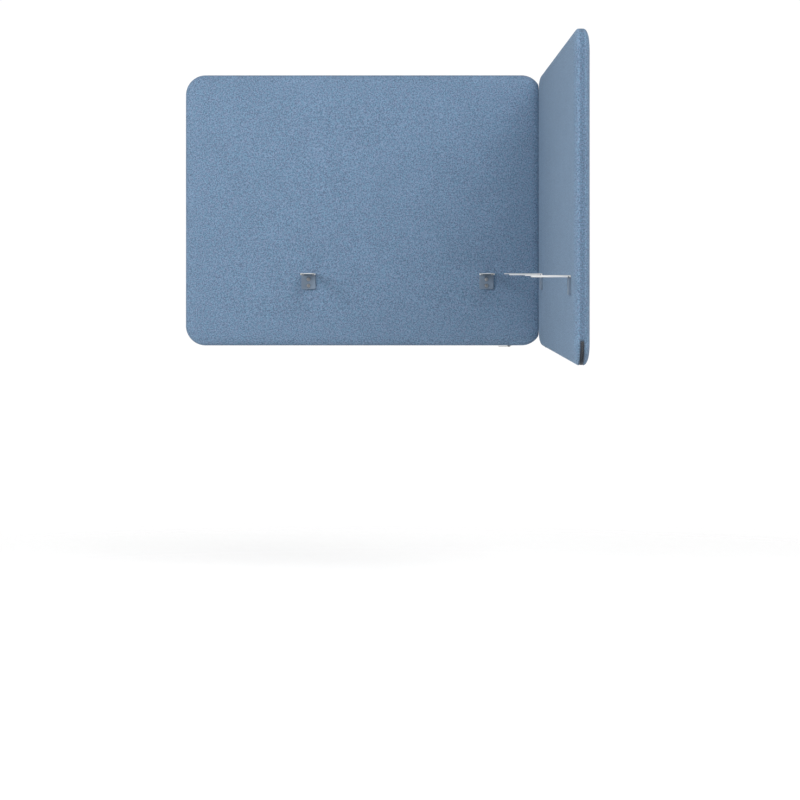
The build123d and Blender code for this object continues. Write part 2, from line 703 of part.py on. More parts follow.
# ---------------------------------------------------------------- corner link pieces
def link_studs():
    """Headed studs from the side screen's end into the rear screen's board."""
    with BuildPart() as studs:
        with BuildSketch(END.offset(STUD_FROM_X)):
            link_circles(STUD_R)
        extrude(amount=STUD_HEAD_X - STUD_FROM_X + OVERLAP)
        with BuildSketch(END.offset(STUD_HEAD_X)):
            link_circles(STUD_HEAD_R)
        extrude(amount=STUD_HEAD_T)
        head_faces = studs.faces().filter_by(Axis.X).sort_by(Axis.X)[-3:]
        chamfer(head_faces.edges(), STUD_CHAMFER)
    return studs.part


def keyhole_plates():
    """Plates in the rear screen's board that the studs hook into."""
    small_holes = [(y, z + rise) for y, rise in PLATE_SMALL_HOLES for z in LINK_Z]
    with BuildPart() as plates:
        with BuildSketch(END.offset(BOARD_FACE_X + 0.05)):
            with Locations(*[(PLATE_MID[0], z + PLATE_MID[1]) for z in LINK_Z]):
                RectangleRounded(PLATE_W, PLATE_H, PLATE_R)
            link_circles(KEY_ENTRY_R, KEY_DROP, Mode.SUBTRACT)
            key_slots(0, KEY_SLOT_W, Mode.SUBTRACT)
            circles(small_holes, PLATE_SMALL_HOLE_R, Mode.SUBTRACT)
        extrude(amount=PLATE_T)
    return plates.part


# ---------------------------------------------------------------- build and save
SCREEN_PIECES = {
    "cover": felt_cover,
    "foam_outer": outer_foam,
    "foam_inner": inner_foam,
    "edge_foam": edge_foam,
    "board_frame": board_frame,
    "acoustic_infill": acoustic_infill,
    "threaded_inserts": threaded_inserts,
    "spacers": spacer_sleeves,
    "zip_coil": zip_coil,
    "zip_stops": zip_stops,
    "zip_slider": zip_slider,
    "zip_pull": zip_pull,
    "bracket_bolts": bracket_bolts,
}

# planes of each screen's brackets
BRACKETS = {
    "rear": {
        name: bracket_planes(INNER_X, y, away=(-1, 0, 0), along=(0, -1, 0))
        for name, y in REAR_BRACKETS.items()
    },
    "side": {
        name: bracket_planes(x, INNER_Y, away=(0, -1, 0), along=(1, 0, 0))
        for name, x in SIDE_BRACKETS.items()
    },
}

os.makedirs("parts", exist_ok=True)

for screen in SCREENS:
    for piece, build in SCREEN_PIECES.items():
        save(build(screen), f"{screen.name}_{piece}")
    save(zip_tape(screen, -TAPE_OUT), f"{screen.name}_zip_tape_inner")
    save(zip_tape(screen, TAPE_IN), f"{screen.name}_zip_tape_outer")

    brackets = BRACKETS[screen.name]
    for name, (flat, upright) in brackets.items():
        save(bracket_shoe(flat, upright, screen.across), f"{name}_shoe")
        save(bracket_arm(flat, screen.across), f"{name}_arm")
    flats = [flat for flat, upright in brackets.values()]
    save(lock_screws(flats), f"{screen.name}_set_screws")

save(link_studs(), "corner_link_studs")
save(keyhole_plates(), "corner_keyhole_plates")
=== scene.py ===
"""Desk privacy panel set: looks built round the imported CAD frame."""

import math
import random

import bmesh
import bpy
import numpy as np
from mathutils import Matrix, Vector, noise


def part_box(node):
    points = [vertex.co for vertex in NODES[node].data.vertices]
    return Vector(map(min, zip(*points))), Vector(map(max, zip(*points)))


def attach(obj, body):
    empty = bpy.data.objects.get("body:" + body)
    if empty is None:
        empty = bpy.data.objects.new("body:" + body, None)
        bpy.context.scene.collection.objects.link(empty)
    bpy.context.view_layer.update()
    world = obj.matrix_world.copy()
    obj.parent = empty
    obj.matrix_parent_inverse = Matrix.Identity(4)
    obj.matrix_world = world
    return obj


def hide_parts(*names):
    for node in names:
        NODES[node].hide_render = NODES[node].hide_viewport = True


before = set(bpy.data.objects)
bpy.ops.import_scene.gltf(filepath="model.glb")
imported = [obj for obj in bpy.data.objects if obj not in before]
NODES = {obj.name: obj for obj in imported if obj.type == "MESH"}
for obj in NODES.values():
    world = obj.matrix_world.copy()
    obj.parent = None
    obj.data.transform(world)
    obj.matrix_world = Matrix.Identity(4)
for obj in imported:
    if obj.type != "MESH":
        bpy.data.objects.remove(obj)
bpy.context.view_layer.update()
random.seed(7)

MM = 0.001

# ------------------------------------------------------------------ screens, from the CAD
CORNER_R = 55.5 * MM
RIM = 5.5 * MM  # half width of the rim round the edge
SOFT = 33 * MM  # the faces curve down to the rim over this distance
FELT = 1.5 * MM
SLIT = 4.5 * MM  # half width of the zip's opening
ZIP_TOP = 55 * MM
PRESS = 0.75 * MM  # the side screen's end is pushed this far past its CAD end, into the rear screen's felt


class Screen:
    """A screen's own axes: u along it, v up, w out from the desk. Its outline is taken as whole, and
    trim is how much of the end at low u is pressed flat against the other screen."""

    def __init__(self, name, u, w, trim=0.0, zip_from=None):
        self.name, self.trim, self.zip_from = name, trim, zip_from
        lo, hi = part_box(f"{name}_cover")
        self.U, self.V, self.W = np.array(u, float), np.array((0, 0, 1.0)), np.array(w, float)
        mid = np.array((lo + hi) / 2)
        mid[2] = lo.z
        self.origin = mid - self.U * trim / 2
        size = np.array(hi - lo)
        self.length = float(abs(size @ self.U)) + trim
        self.height = float(size[2])
        self.thick = float(abs(size @ self.W))
        self.feet = []
        for bracket in BRACKETS[name]:
            a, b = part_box(f"{bracket}_shoe")
            centre = self.local((a + b) / 2)
            self.feet.append((centre[0], a.z + 20 * MM - lo.z))

    def world(self, uvw):
        p = np.asarray(uvw, float).reshape(-1, 3)
        if self.trim:
            p = p.copy()
            soft = 0.9 * MM
            flat = self.length / 2 - self.trim + PRESS
            p[:, 0] = soft * np.logaddexp(0, (p[:, 0] + flat) / soft) - flat
        return self.origin + p[:, :1] * self.U + p[:, 1:2] * self.V + p[:, 2:] * self.W

    def local(self, point):
        d = np.array(point, float) - self.origin
        return np.array((d @ self.U, d @ self.V, d @ self.W))


BRACKETS = {"rear": ("rear_near", "rear_far"), "side": ("side_back", "side_front")}
SCREENS = [
    Screen("rear", (0, 1, 0), (1, 0, 0)),
    Screen("side", (-1, 0, 0), (0, 1, 0), trim=8.5 * MM, zip_from=-425 * MM),
]


def new_object(name, verts, faces, smooth=True):
    mesh = bpy.data.meshes.new(name)
    mesh.from_pydata([tuple(v) for v in verts], [], [tuple(f) for f in faces])
    mesh.validate()
    mesh.update()
    if smooth:
        mesh.shade_smooth()
    ob = bpy.data.objects.new(name, mesh)
    bpy.context.scene.collection.objects.link(ob)
    return ob


# ------------------------------------------------------------------ node helpers
class Mat:
    """A material's node tree, written as plain calls."""

    def __init__(self, name):
        self.mat = bpy.data.materials.new(name)
        self.mat.use_nodes = True
        self.nt = self.mat.node_tree
        self.nt.nodes.clear()
        self.out = self.nt.nodes.new("ShaderNodeOutputMaterial")
        self.bsdf = self.nt.nodes.new("ShaderNodeBsdfPrincipled")
        self.nt.links.new(self.bsdf.outputs[0], self.out.inputs["Surface"])
        self.coord = self.nt.nodes.new("ShaderNodeTexCoord")

    def put(self, socket, value):
        if isinstance(value, bpy.types.NodeSocket):
            self.nt.links.new(value, socket)
        elif value is not None:
            if hasattr(socket, "default_value"):
                if isinstance(value, (tuple, list)) and len(value) == 3 and socket.type == "RGBA":
                    value = (*value, 1.0)
                socket.default_value = value

    def set(self, **values):
        for k, v in values.items():
            self.put(self.bsdf.inputs[k.replace("_", " ")], v)

    def math(self, op, a, b=None, c=None, clamp=False):
        n = self.nt.nodes.new("ShaderNodeMath")
        n.operation, n.use_clamp = op, clamp
        for i, v in enumerate((a, b, c)):
            if v is not None:
                self.put(n.inputs[i], v)
        return n.outputs[0]

    def vmath(self, op, a, b=None, scale=None):
        n = self.nt.nodes.new("ShaderNodeVectorMath")
        n.operation = op
        self.put(n.inputs[0], a)
        if b is not None:
            self.put(n.inputs[1], b)
        if scale is not None:
            self.put(n.inputs["Scale"], scale)
        return n.outputs["Value"] if op in ("DOT_PRODUCT", "LENGTH") else n.outputs[0]

    def mapping(self, vector, rotation=(0, 0, 0), scale=(1, 1, 1), location=(0, 0, 0)):
        n = self.nt.nodes.new("ShaderNodeMapping")
        self.put(n.inputs["Vector"], vector)
        n.inputs["Rotation"].default_value = rotation
        n.inputs["Scale"].default_value = scale
        n.inputs["Location"].default_value = location
        return n.outputs[0]

    def noise(self, vector, scale, detail=2.0, rough=0.5, distortion=0.0, out="Fac"):
        n = self.nt.nodes.new("ShaderNodeTexNoise")
        self.put(n.inputs["Vector"], vector)
        n.inputs["Scale"].default_value = scale
        n.inputs["Detail"].default_value = detail
        n.inputs["Roughness"].default_value = rough
        n.inputs["Distortion"].default_value = distortion
        return n.outputs[out]

    def voronoi(self, vector, scale, feature="F1", out="Distance", randomness=1.0):
        n = self.nt.nodes.new("ShaderNodeTexVoronoi")
        n.feature = feature
        self.put(n.inputs["Vector"], vector)
        n.inputs["Scale"].default_value = scale
        n.inputs["Randomness"].default_value = randomness
        return n.outputs[out]

    def wave(self, vector, scale, direction="X", profile="SIN", distortion=0.0, dscale=1.0):
        n = self.nt.nodes.new("ShaderNodeTexWave")
        n.wave_type, n.bands_direction, n.wave_profile = "BANDS", direction, profile
        self.put(n.inputs["Vector"], vector)
        n.inputs["Scale"].default_value = scale
        n.inputs["Distortion"].default_value = distortion
        n.inputs["Detail Scale"].default_value = dscale
        return n.outputs["Fac"]

    def ramp(self, fac, stops, interpolation="LINEAR"):
        n = self.nt.nodes.new("ShaderNodeValToRGB")
        self.put(n.inputs["Fac"], fac)
        r = n.color_ramp
        r.interpolation = interpolation
        while len(r.elements) > 1:
            r.elements.remove(r.elements[-1])
        for i, (pos, col) in enumerate(stops):
            e = r.elements[0] if i == 0 else r.elements.new(pos)
            e.position = pos
            col = (col, col, col) if isinstance(col, (int, float)) else col
            e.color = (*col, 1.0)
        return n.outputs["Color"]

    def range(self, value, a, b, c, d, smooth=False):
        n = self.nt.nodes.new("ShaderNodeMapRange")
        if smooth:
            n.interpolation_type = "SMOOTHSTEP"
        self.put(n.inputs["Value"], value)
        for key, v in (("From Min", a), ("From Max", b), ("To Min", c), ("To Max", d)):
            n.inputs[key].default_value = v
        return n.outputs["Result"]

    def mix(self, fac, a, b, blend="MIX"):
        n = self.nt.nodes.new("ShaderNodeMix")
        n.data_type, n.blend_type = "RGBA", blend
        self.put(n.inputs["Factor"], fac)
        ins = [s for s in n.inputs if s.type == "RGBA"]
        self.put(ins[0], a)
        self.put(ins[1], b)
        return [s for s in n.outputs if s.type == "RGBA"][0]

    def bump(self, height, strength, distance, normal=None):
        n = self.nt.nodes.new("ShaderNodeBump")
        self.put(n.inputs["Height"], height)
        n.inputs["Strength"].default_value = strength
        n.inputs["Distance"].default_value = distance
        if normal is not None:
            self.put(n.inputs["Normal"], normal)
        return n.outputs[0]


# ------------------------------------------------------------------ materials
FELT_BASE = (0.150, 0.233, 0.343)
FELT_LIGHT = (0.254, 0.385, 0.556)
FELT_DARK = (0.050, 0.083, 0.134)
# painted shade: the felt's colour is multiplied by the rim factor below along the rim
RIM_PAINTED_SHADE = (0.76, 0.775, 0.79)


def felt_material(name, screen):
    """Pressed wool melange: pale and navy fibres through a mid blue, with a short nap."""
    m = Mat(name)
    obj = m.coord.outputs["Object"]
    # the screen's own axes, so that fibres lie in its faces
    sep = m.nt.nodes.new("ShaderNodeCombineXYZ")
    m.put(sep.inputs[0], m.vmath("DOT_PRODUCT", obj, tuple(screen.U)))
    m.put(sep.inputs[1], m.vmath("DOT_PRODUCT", obj, tuple(screen.V)))
    m.put(sep.inputs[2], m.vmath("DOT_PRODUCT", obj, tuple(screen.W)))
    p = sep.outputs[0]
    cloud = m.noise(p, 14, 3, 0.55)
    fleck = m.noise(p, 300, 2.0, 0.6)
    fleck2 = m.noise(m.mapping(p, location=(3.1, 1.7, 0.4)), 560, 2.0, 0.6)
    grain = m.noise(m.mapping(p, location=(0.3, 7.7, 2.4)), 1500, 2.0, 0.7)
    # fibres: noise drawn out along a few directions, bent by a slow warp
    warp = m.vmath("SCALE", m.vmath("SUBTRACT", m.noise(p, 90, 2, 0.5, out="Color"), (0.5, 0.5, 0.5)), scale=0.012)
    bent = m.vmath("ADD", p, warp)
    pale, dark, fuzz = None, None, None
    for k, (turn, length, width) in enumerate(
        ((0.35, 150, 1700), (1.35, 170, 1500), (2.25, 130, 1800), (2.85, 190, 1600))
    ):
        q = m.mapping(bent, rotation=(0, 0, turn), location=(k * 1.3, k * 2.1, k * 0.7))
        q = m.mapping(q, scale=(length, width, width))
        f = m.noise(q, 1.0, 1.0, 0.5)
        a = m.range(f, 0.60, 0.72, 0.0, 1.0, True)
        b = m.range(f, 0.40, 0.29, 0.0, 1.0, True)
        pale = a if pale is None else m.math("MAXIMUM", pale, a)
        dark = b if dark is None else m.math("MAXIMUM", dark, b)
        fuzz = f if fuzz is None else m.math("ADD", fuzz, f)
    base = m.mix(m.range(fleck, 0.34, 0.66, 0.0, 1.0), FELT_DARK, FELT_LIGHT)
    base = m.mix(0.22, base, FELT_BASE)
    second = m.mix(m.range(fleck2, 0.33, 0.67, 0.0, 1.0), FELT_DARK, FELT_LIGHT)
    base = m.mix(0.20, base, second)
    base = m.mix(m.math("MULTIPLY", pale, 0.34), base, FELT_LIGHT)
    base = m.mix(m.math("MULTIPLY", dark, 0.36), base, FELT_DARK)
    shade = m.range(cloud, 0.3, 0.7, 0.965, 1.035)
    tiny = m.range(grain, 0.3, 0.7, 0.93, 1.07)
    base = m.mix(1.0, base, m.math("MULTIPLY", shade, tiny), "MULTIPLY")
    # dyed lots of wool: some flecks lean to mauve, some to green
    lot = m.noise(m.mapping(p, location=(5.9, 2.3, 8.1)), 170, 2.0, 0.6)
    lean = m.mix(m.range(lot, 0.34, 0.66, 0.0, 1.0), (1.085, 0.975, 0.985), (0.915, 1.025, 1.015))
    base = m.mix(1.0, base, lean, "MULTIPLY")
    # painted shade: the felt's colour is darkened along the rim, standing in for the shade that falls on the edge
    from_middle = m.math("ABSOLUTE", m.math("SUBTRACT", sep.inputs[2].links[0].from_socket, float(screen.origin @ screen.W)))
    rim_shade_mask = m.range(from_middle, 4.6 * MM, 6.8 * MM, 1.0, 0.0, True)
    base = m.mix(rim_shade_mask, base, m.mix(1.0, base, RIM_PAINTED_SHADE, "MULTIPLY"))
    m.set(Base_Color=base)
    m.set(Roughness=m.range(fleck, 0.3, 0.7, 0.88, 0.98))
    m.set(Specular_IOR_Level=0.18)
    m.set(Sheen_Weight=0.22, Sheen_Roughness=0.55)
    m.put(m.bsdf.inputs["Sheen Tint"], (0.62, 0.74, 0.88))
    height = m.math("ADD", m.math("MULTIPLY", fuzz, 0.5), m.math("MULTIPLY", grain, 0.7))
    low = m.bump(fleck, 0.35, 0.0006)
    m.set(Normal=m.bump(height, 0.55, 0.00045, low))
    return m.mat


def thread_material(name, colour):
    m = Mat(name)
    p = m.coord.outputs["Object"]
    twist = m.wave(m.mapping(p, rotation=(0.6, 0.7, 0.5)), 900, profile="SIN")
    m.set(Base_Color=m.mix(twist, tuple(c * 0.72 for c in colour), colour))
    m.set(Roughness=0.7, Sheen_Weight=0.2)
    m.set(Normal=m.bump(twist, 0.5, 0.0002))
    return m.mat


def zip_tape_material(name):
    """Woven polyester tape: fine herringbone."""
    m = Mat(name)
    p = m.coord.outputs["Object"]
    a = m.wave(m.mapping(p, rotation=(0.5, 0.78, 0.4)), 700, profile="TRI")
    b = m.wave(m.mapping(p, rotation=(-0.5, -0.78, 2.1)), 700, profile="TRI")
    weave = m.math("MAXIMUM", a, b)
    n = m.noise(p, 900, 2, 0.6)
    base = m.mix(weave, (0.018, 0.021, 0.027), (0.060, 0.067, 0.080))
    base = m.mix(m.range(n, 0.3, 0.7, 0.0, 0.35), base, (0.085, 0.094, 0.11))
    m.set(Base_Color=base, Roughness=0.82, Sheen_Weight=0.25)
    m.set(Normal=m.bump(weave, 0.6, 0.0003))
    return m.mat


def zip_coil_material(name):
    m = Mat(name)
    p = m.coord.outputs["Object"]
    n = m.noise(p, 420, 3, 0.6)
    m.set(Base_Color=m.mix(n, (0.050, 0.060, 0.078), (0.100, 0.118, 0.148)))
    m.set(Roughness=m.range(n, 0.3, 0.7, 0.30, 0.48), Specular_IOR_Level=0.5)
    m.set(Normal=m.bump(m.noise(p, 1600, 2, 0.5), 0.2, 0.0001))
    return m.mat


def edge_wear(m, radius=0.0006, low=0.0, high=0.35):
    """A mask that is high along convex edges."""
    bevel = m.nt.nodes.new("ShaderNodeBevel")
    bevel.samples = 4
    bevel.inputs["Radius"].default_value = radius
    geo = m.nt.nodes.new("ShaderNodeNewGeometry")
    d = m.vmath("DOT_PRODUCT", bevel.outputs[0], geo.outputs["Normal"])
    return m.range(d, 1.0, 0.82, low, high, True)


def powder_coat(name, colour, roughness=0.42):
    """Powder coat: orange peel and faint mottling."""
    m = Mat(name)
    p = m.coord.outputs["Object"]
    peel = m.noise(p, 620, 2, 0.5)
    fine = m.voronoi(p, 1500)
    mott = m.noise(p, 30, 3, 0.6)
    base = m.mix(m.range(mott, 0.3, 0.7, 0.0, 1.0), tuple(c * 0.96 for c in colour), colour)
    m.set(Base_Color=base)
    m.set(Roughness=m.range(mott, 0.3, 0.7, roughness - 0.05, roughness + 0.07))
    height = m.math("ADD", peel, m.math("MULTIPLY", fine, 0.4))
    m.set(Normal=m.bump(height, 0.16, 0.0004))
    m.set(Coat_Weight=0.08, Coat_Roughness=0.3)
    return m.mat


def metal(name, colour, roughness=0.3, brushed=(1, 1, 1), metallic=1.0):
    m = Mat(name)
    p = m.coord.outputs["Object"]
    lines = m.noise(m.mapping(p, scale=brushed), 260, 3, 0.6)
    spots = m.noise(p, 120, 3, 0.6)
    m.set(Base_Color=m.mix(m.range(spots, 0.3, 0.7, 0, 1), tuple(c * 0.88 for c in colour), colour))
    m.set(Metallic=metallic, Roughness=m.range(lines, 0.3, 0.7, roughness - 0.07, roughness + 0.1))
    m.set(Normal=m.bump(lines, 0.1, 0.0002))
    return m.mat


def wood_material(name, along):
    """Poplar battens: long grain, fine pores."""
    m = Mat(name)
    p = m.coord.outputs["Object"]
    stretch = tuple(4.0 if a else 60.0 for a in along)
    g = m.noise(m.mapping(p, scale=stretch), 1.6, 5, 0.6, 0.6)
    rings = m.wave(m.mapping(p, scale=tuple(s * 0.12 for s in stretch)), 2.4, direction="DIAGONAL", distortion=6.0)
    pores = m.noise(m.mapping(p, scale=tuple(s * 9 for s in stretch)), 2.0, 2, 0.6)
    base = m.mix(g, (0.50, 0.36, 0.21), (0.69, 0.54, 0.36))
    base = m.mix(m.math("MULTIPLY", rings, 0.25), base, (0.42, 0.29, 0.16))
    m.set(Base_Color=base, Roughness=m.range(g, 0.3, 0.7, 0.62, 0.78))
    m.set(Normal=m.bump(pores, 0.25, 0.0004))
    return m.mat


def foam_material(name):
    m = Mat(name)
    p = m.coord.outputs["Object"]
    cells = m.voronoi(p, 750)
    big = m.noise(p, 40, 3, 0.6)
    base = m.mix(m.range(cells, 0.0, 0.6, 0.0, 1.0), (0.55, 0.54, 0.49), (0.82, 0.81, 0.76))
    base = m.mix(m.range(big, 0.3, 0.7, 0.0, 0.25), base, (0.70, 0.68, 0.58))
    m.set(Base_Color=base, Roughness=0.95, Sheen_Weight=0.1)
    m.set(Normal=m.bump(cells, 0.7, 0.0008))
    return m.mat


def fibre_board(name):
    m = Mat(name)
    p = m.coord.outputs["Object"]
    warp = m.vmath("SCALE", m.noise(p, 70, 2, 0.5, out="Color"), scale=0.02)
    q = m.vmath("ADD", p, warp)
    a = m.noise(m.mapping(q, scale=(900, 900, 120)), 1.0, 2, 0.6)
    b = m.noise(m.mapping(q, rotation=(0.9, 0.4, 0.6), scale=(120, 900, 900)), 1.0, 2, 0.6)
    f = m.math("MAXIMUM", a, b)
    m.set(Base_Color=m.mix(m.range(f, 0.4, 0.75, 0, 1), (0.42, 0.43, 0.45), (0.74, 0.75, 0.77)))
    m.set(Roughness=0.96, Sheen_Weight=0.2)
    m.set(Normal=m.bump(f, 0.6, 0.0008))
    return m.mat


def plastic(name, colour, roughness=0.5, texture=900):
    m = Mat(name)
    p = m.coord.outputs["Object"]
    t = m.noise(p, texture, 2, 0.6)
    k = m.noise(p, 60, 2, 0.6)
    m.set(Base_Color=m.mix(k, tuple(c * 0.85 for c in colour), colour))
    m.set(Roughness=m.range(t, 0.3, 0.7, roughness - 0.06, roughness + 0.08))
    m.set(Normal=m.bump(t, 0.25, 0.0002))
    return m.mat


# ------------------------------------------------------------------ felt covers
def perimeter(screen):
    """Points round the outline, as (centre u, centre v, outward u, outward v). They start at the foot of
    the straight at high u and run over the top."""
    L, H, R = screen.length, screen.height, CORNER_R
    hu, lo, hi = L / 2 - R, R, H - R

    def steps(length, spacing, extra=None):
        """Even steps, with finer ones at both ends, and round one more place."""
        fine = [0.0, 0.7 * MM, 1.8 * MM, 4.0 * MM]
        n = max(2, round((length - 2 * fine[-1]) / spacing))
        mid = np.linspace(fine[-1], length - fine[-1], n + 1)
        out = fine[:-1] + list(mid) + [length - f for f in reversed(fine[:-1])]
        if extra is not None:
            out = [s for s in out if abs(s - extra) > 7 * MM or s < 4.1 * MM or s > length - 4.1 * MM]
            out += [extra + f for f in (-4 * MM, -1.8 * MM, -0.7 * MM, 0, 0.7 * MM, 1.8 * MM, 4 * MM)]
        return sorted(out)

    pts = []
    vs = steps(hi - lo, 10.5 * MM)
    us = steps(2 * hu, 10.5 * MM, None if screen.zip_from is None else hu - screen.zip_from)
    arc = [a / R for a in steps(R * math.pi / 2, 5.5 * MM)]
    # high end going up, top, low end going down, bottom
    for v in vs[:-1]:
        pts.append((hu, lo + v, 1, 0))
    for a in arc[:-1]:
        pts.append((hu, hi, math.cos(a), math.sin(a)))
    for u in us[:-1]:
        pts.append((hu - u, hi, 0, 1))
    for a in arc[:-1]:
        pts.append((-hu, hi, -math.sin(a), math.cos(a)))
    for v in vs[:-1]:
        pts.append((-hu, hi - v, -1, 0))
    for a in arc[:-1]:
        pts.append((-hu, lo, -math.cos(a), -math.sin(a)))
    for u in us[:0:-1]:
        pts.append((hu - u, lo, 0, -1))
    for a in arc[:-1]:
        pts.append((hu, lo, math.sin(a), -math.cos(a)))
    counts = (len(vs) - 1, len(arc) - 1, len(us) - 1)
    return np.array(pts), us, vs, counts


def shoulder(w, half):
    """How far the surface stands in from the outline at a distance w from the middle plane, and its
    outward direction there as (out, w)."""
    rise = half - RIM
    s = min(max(abs(w) - RIM, 0.0) / rise, 1.0)
    c = math.sqrt(1 - s * s)
    out, up = c / SOFT, s / rise
    n = math.hypot(out, up)
    return SOFT * (1 - c), out / n, up / n * (1 if w > 0 else -1)


def felt_cover(screen):
    """The cover's outer skin: flat faces that curve softly down to the rim, a butted seam along the
    rim, and the zip's opening below it. It is given the felt's thickness afterwards."""
    P, us, vs, (nv, na, nu) = perimeter(screen)
    half, R, H = screen.thick / 2, CORNER_R, screen.height
    rise = half - RIM
    # cross-section from the front face's inner ring over the edge to the back face's, as (inset, w)
    front = [(d, half) for d in (R, 49.5 * MM, 43.5 * MM, 38 * MM)]
    front += [(SOFT * (1 - math.cos(a)), RIM + rise * math.sin(a)) for a in np.linspace(math.pi / 2, 0, 16)[:-1]]
    band = [(0.0, w * MM) for w in (5.5, 5.0, 4.5, 3.6, 2.6, 1.8, 1.2, 0.7, 0.35, 0.0)]
    back = [(d, -w) for d, w in reversed(front)]
    band += [(0.0, -w) for _, w in reversed(band[:-1])]
    section = front + band + back
    ns, n = len(section), len(P)
    slit_hi, slit_lo = [i for i, (d, w) in enumerate(section) if d == 0.0 and abs(abs(w) - SLIT) < 1e-7]
    start = nv * 2 + na * 2 + nu  # foot of the straight at low u
    outer = P[:, :2] + P[:, 2:] * R
    if screen.zip_from is None:
        in_slit = [i >= start or i == 0 for i in range(n)]
    else:
        in_slit = [i == 0 or (i >= start + na and outer[i][0] >= screen.zip_from - 1e-6) for i in range(n)]

    def crown(d, w, u, v):
        """How far the face stands out: a little fuller in the middle, never quite even, and held down
        under the brackets' feet."""
        if d < SOFT:
            return 0.0
        s = 1 if w > 0 else -1
        k = Vector((u * 4.1 + 11 * s, v * 4.1, screen.length))
        far = 1 - math.exp(-(((d - SOFT) / (45 * MM)) ** 2))
        out = (0.45 * MM + 0.30 * MM * noise.noise(k) + 0.12 * MM * noise.noise(k * 3.1)) * far
        if s < 0:
            for fu, fv in screen.feet:
                gap = math.hypot(max(abs(u - fu) - 20 * MM, 0), max(abs(v - fv) - 20 * MM, 0))
                out *= 1 - math.exp(-((gap / (9 * MM)) ** 2))
        return s * out

    along = np.concatenate([[0], np.cumsum(np.linalg.norm(np.diff(outer, axis=0), axis=1))])
    verts, index = [], {}
    for j, (d, w) in enumerate(section):
        for i in range(n):
            cu, cv, ou, ov = P[i]
            dd, ww = d, w
            if abs(w) <= RIM + 1e-6:
                if not in_slit[i]:
                    # the seam's groove, and the felt's lift beside it
                    g = math.exp(-((w / (0.55 * MM)) ** 2))
                    lift = math.exp(-(((abs(w) - 1.8 * MM) / (1.1 * MM)) ** 2))
                    beat = 0.75 + 0.25 * math.sin(along[i] * 2.1 / (3.2 * MM))
                    dd += 0.75 * MM * g * beat - 0.12 * MM * lift
                elif abs(abs(w) - SLIT) < 1e-7:
                    dd += 0.55 * MM
                    ww = w * 0.98
                elif abs(w) > SLIT:
                    dd += 0.06 * MM
            # slow unevenness of the outline
            k = Vector((outer[i][0] * 7, outer[i][1] * 7, 3.0 + screen.length))
            dd += 0.16 * MM * noise.noise(k) * math.exp(-d / (20 * MM))
            pu, pv = cu + ou * (R - dd), cv + ov * (R - dd)
            verts.append((pu, pv, ww + crown(d, w, pu, pv)))
            index[j, i] = len(verts) - 1
    faces = []
    for j in range(ns - 1):
        for i in range(n):
            k = (i + 1) % n
            if slit_hi <= j < slit_lo and in_slit[i] and in_slit[k]:
                continue
            faces.append((index[j, i], index[j, k], index[j + 1, k], index[j + 1, i]))
    # the faces' middles, on the grid of the inner ring
    hu = screen.length / 2 - R
    for j, s in ((0, 1), (ns - 1, -1)):
        grid = {}
        for b, v in enumerate(vs):
            for a, u in enumerate(us):
                uu, vv = hu - u, R + v
                if b == 0:
                    key = start + na + (nu - a)
                elif b == nv:
                    key = nv + na + a
                elif a == 0:
                    key = b
                elif a == nu:
                    key = nv + na * 2 + nu + (nv - b)
                else:
                    key = None
                if key is None:
                    dd = min(hu - abs(uu), vv - R, H - R - vv) + R
                    verts.append((uu, vv, s * half + crown(dd, s * half, uu, vv)))
                    grid[a, b] = len(verts) - 1
                else:
                    grid[a, b] = index[j, key % n]
        for b in range(nv):
            for a in range(nu):
                q = (grid[a, b], grid[a, b + 1], grid[a + 1, b + 1], grid[a + 1, b])
                faces.append(q if s > 0 else q[::-1])
    ob = new_object(f"{screen.name}_felt_cover", screen.world(verts), faces)
    bm = bmesh.new()
    bm.from_mesh(ob.data)
    bmesh.ops.remove_doubles(bm, verts=bm.verts, dist=2e-5)
    bmesh.ops.dissolve_degenerate(bm, edges=bm.edges, dist=1e-5)
    bmesh.ops.recalc_face_normals(bm, faces=bm.faces)
    bm.to_mesh(ob.data)
    bm.free()
    ob.data.shade_smooth()
    solid = ob.modifiers.new("felt_thickness", "SOLIDIFY")
    solid.thickness = FELT * 0.86
    solid.offset = -1.0
    solid.use_even_offset = False
    return ob


def rim_path(screen, depth, step, margin, low=False):
    """Even points along the rim at a depth below the surface, as (u, v, along u, along v, out u, out v):
    the zip's stretch, or with low the closed seam's."""
    R, H = CORNER_R, screen.height
    hu = screen.length / 2 - R
    r = R - depth
    arc = r * math.pi / 2
    up = H - 2 * R
    # from the foot of the straight at low u, anticlockwise
    legs = [arc, 2 * hu, arc, up, arc, 2 * hu, arc, up]
    ends = np.cumsum(legs)
    a_zip = 0.0 if screen.zip_from is None else arc + hu + screen.zip_from
    b_zip = ends[2]
    if low:
        first, last = b_zip, ends[-1] + a_zip
    else:
        first, last = a_zip, b_zip
    n = int((last - first - 2 * margin) // step)
    s0 = first + (last - first - n * step) / 2
    out = []
    for i in range(n + 1):
        s = (s0 + i * step) % ends[-1]
        leg = int(np.searchsorted(ends, s, side="right"))
        t = s - (ends[leg] - legs[leg])
        a = t / r
        c, k = math.cos(a), math.sin(a)
        u, v, tu, tv, ou, ov = (
            lambda: (-hu - c * r, R - k * r, k, -c, -c, -k),
            lambda: (-hu + t, R - r, 1, 0, 0, -1),
            lambda: (hu + k * r, R - c * r, c, k, k, -c),
            lambda: (hu + r, R + t, 0, 1, 1, 0),
            lambda: (hu + c * r, H - R + k * r, -k, c, c, k),
            lambda: (hu - t, H - R + r, -1, 0, 0, 1),
            lambda: (-hu - k * r, H - R + c * r, -c, -k, -k, c),
            lambda: (-hu - r, H - R - t, 0, -1, -1, 0),
        )[leg]()
        out.append((u, v, tu, tv, ou, ov))
    return out


